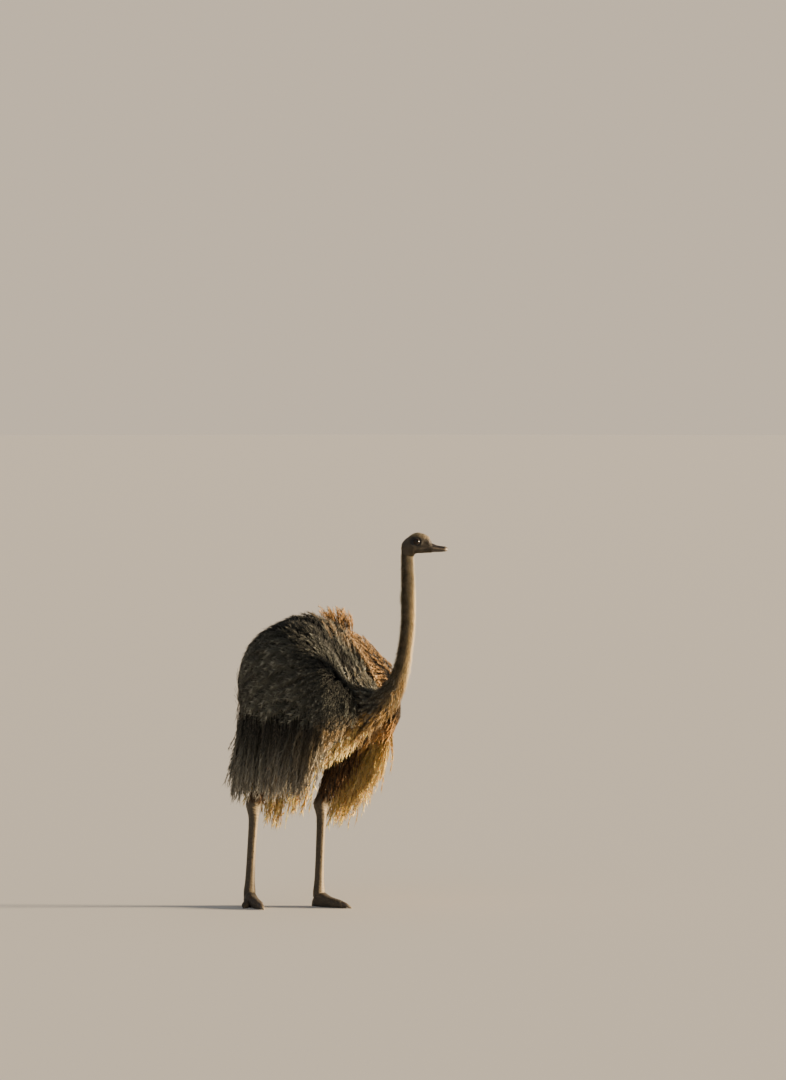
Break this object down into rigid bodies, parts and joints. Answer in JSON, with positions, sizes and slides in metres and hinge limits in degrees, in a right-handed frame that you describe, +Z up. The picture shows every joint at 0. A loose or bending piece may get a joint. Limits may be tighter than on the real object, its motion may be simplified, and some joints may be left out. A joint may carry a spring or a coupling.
{
  "type": "ostrich",
  "caption": "Life-size standing ostrich hen with grey-brown plumage, loose hanging plumes, a long bare-legged stance and its head turned to the left.",
  "frame": {"origin": "middle of the bounding box at floor level, under the soles", "axes": "+X the way the body faces, +Y the bird's left side, +Z up"},
  "size_m": [1.1336, 0.5716, 1.7121],
  "materials": {
    "feathers": "soft mottled grey-brown body feathers with paler edges",
    "plumes": "loose hanging grey-brown to golden-brown plumes",
    "down": "short sparse grey-brown down and bristles",
    "bare_skin": "bare grey-brown skin, scaled on shank and toes",
    "bill": "smooth horn, dull gloss",
    "claw": "worn dark horn",
    "eye": "wet dark brown eye"
  },
  "bodies": {
    "root": {"trunk": "feathers", "wing_left": "feathers", "wing_right": "feathers", "tail": "plumes", "plumes_left_rear": "plumes", "plumes_left_front": "plumes", "plumes_right_rear": "plumes", "plumes_right_front": "plumes", "head": "down", "neck_lower": "down", "neck_middle": "down", "neck_upper": "down", "thigh_left": "bare_skin", "thigh_right": "bare_skin", "shank_left": "bare_skin", "shank_right": "bare_skin", "toe_inner_left": "bare_skin", "toe_inner_right": "bare_skin", "toe_outer_left": "bare_skin", "toe_outer_right": "bare_skin", "bill_upper": "bill", "bill_lower": "bill", "claw_left": "claw", "claw_right": "claw", "eye_left": "eye", "eye_right": "eye"}
  },
  "joints": []
}
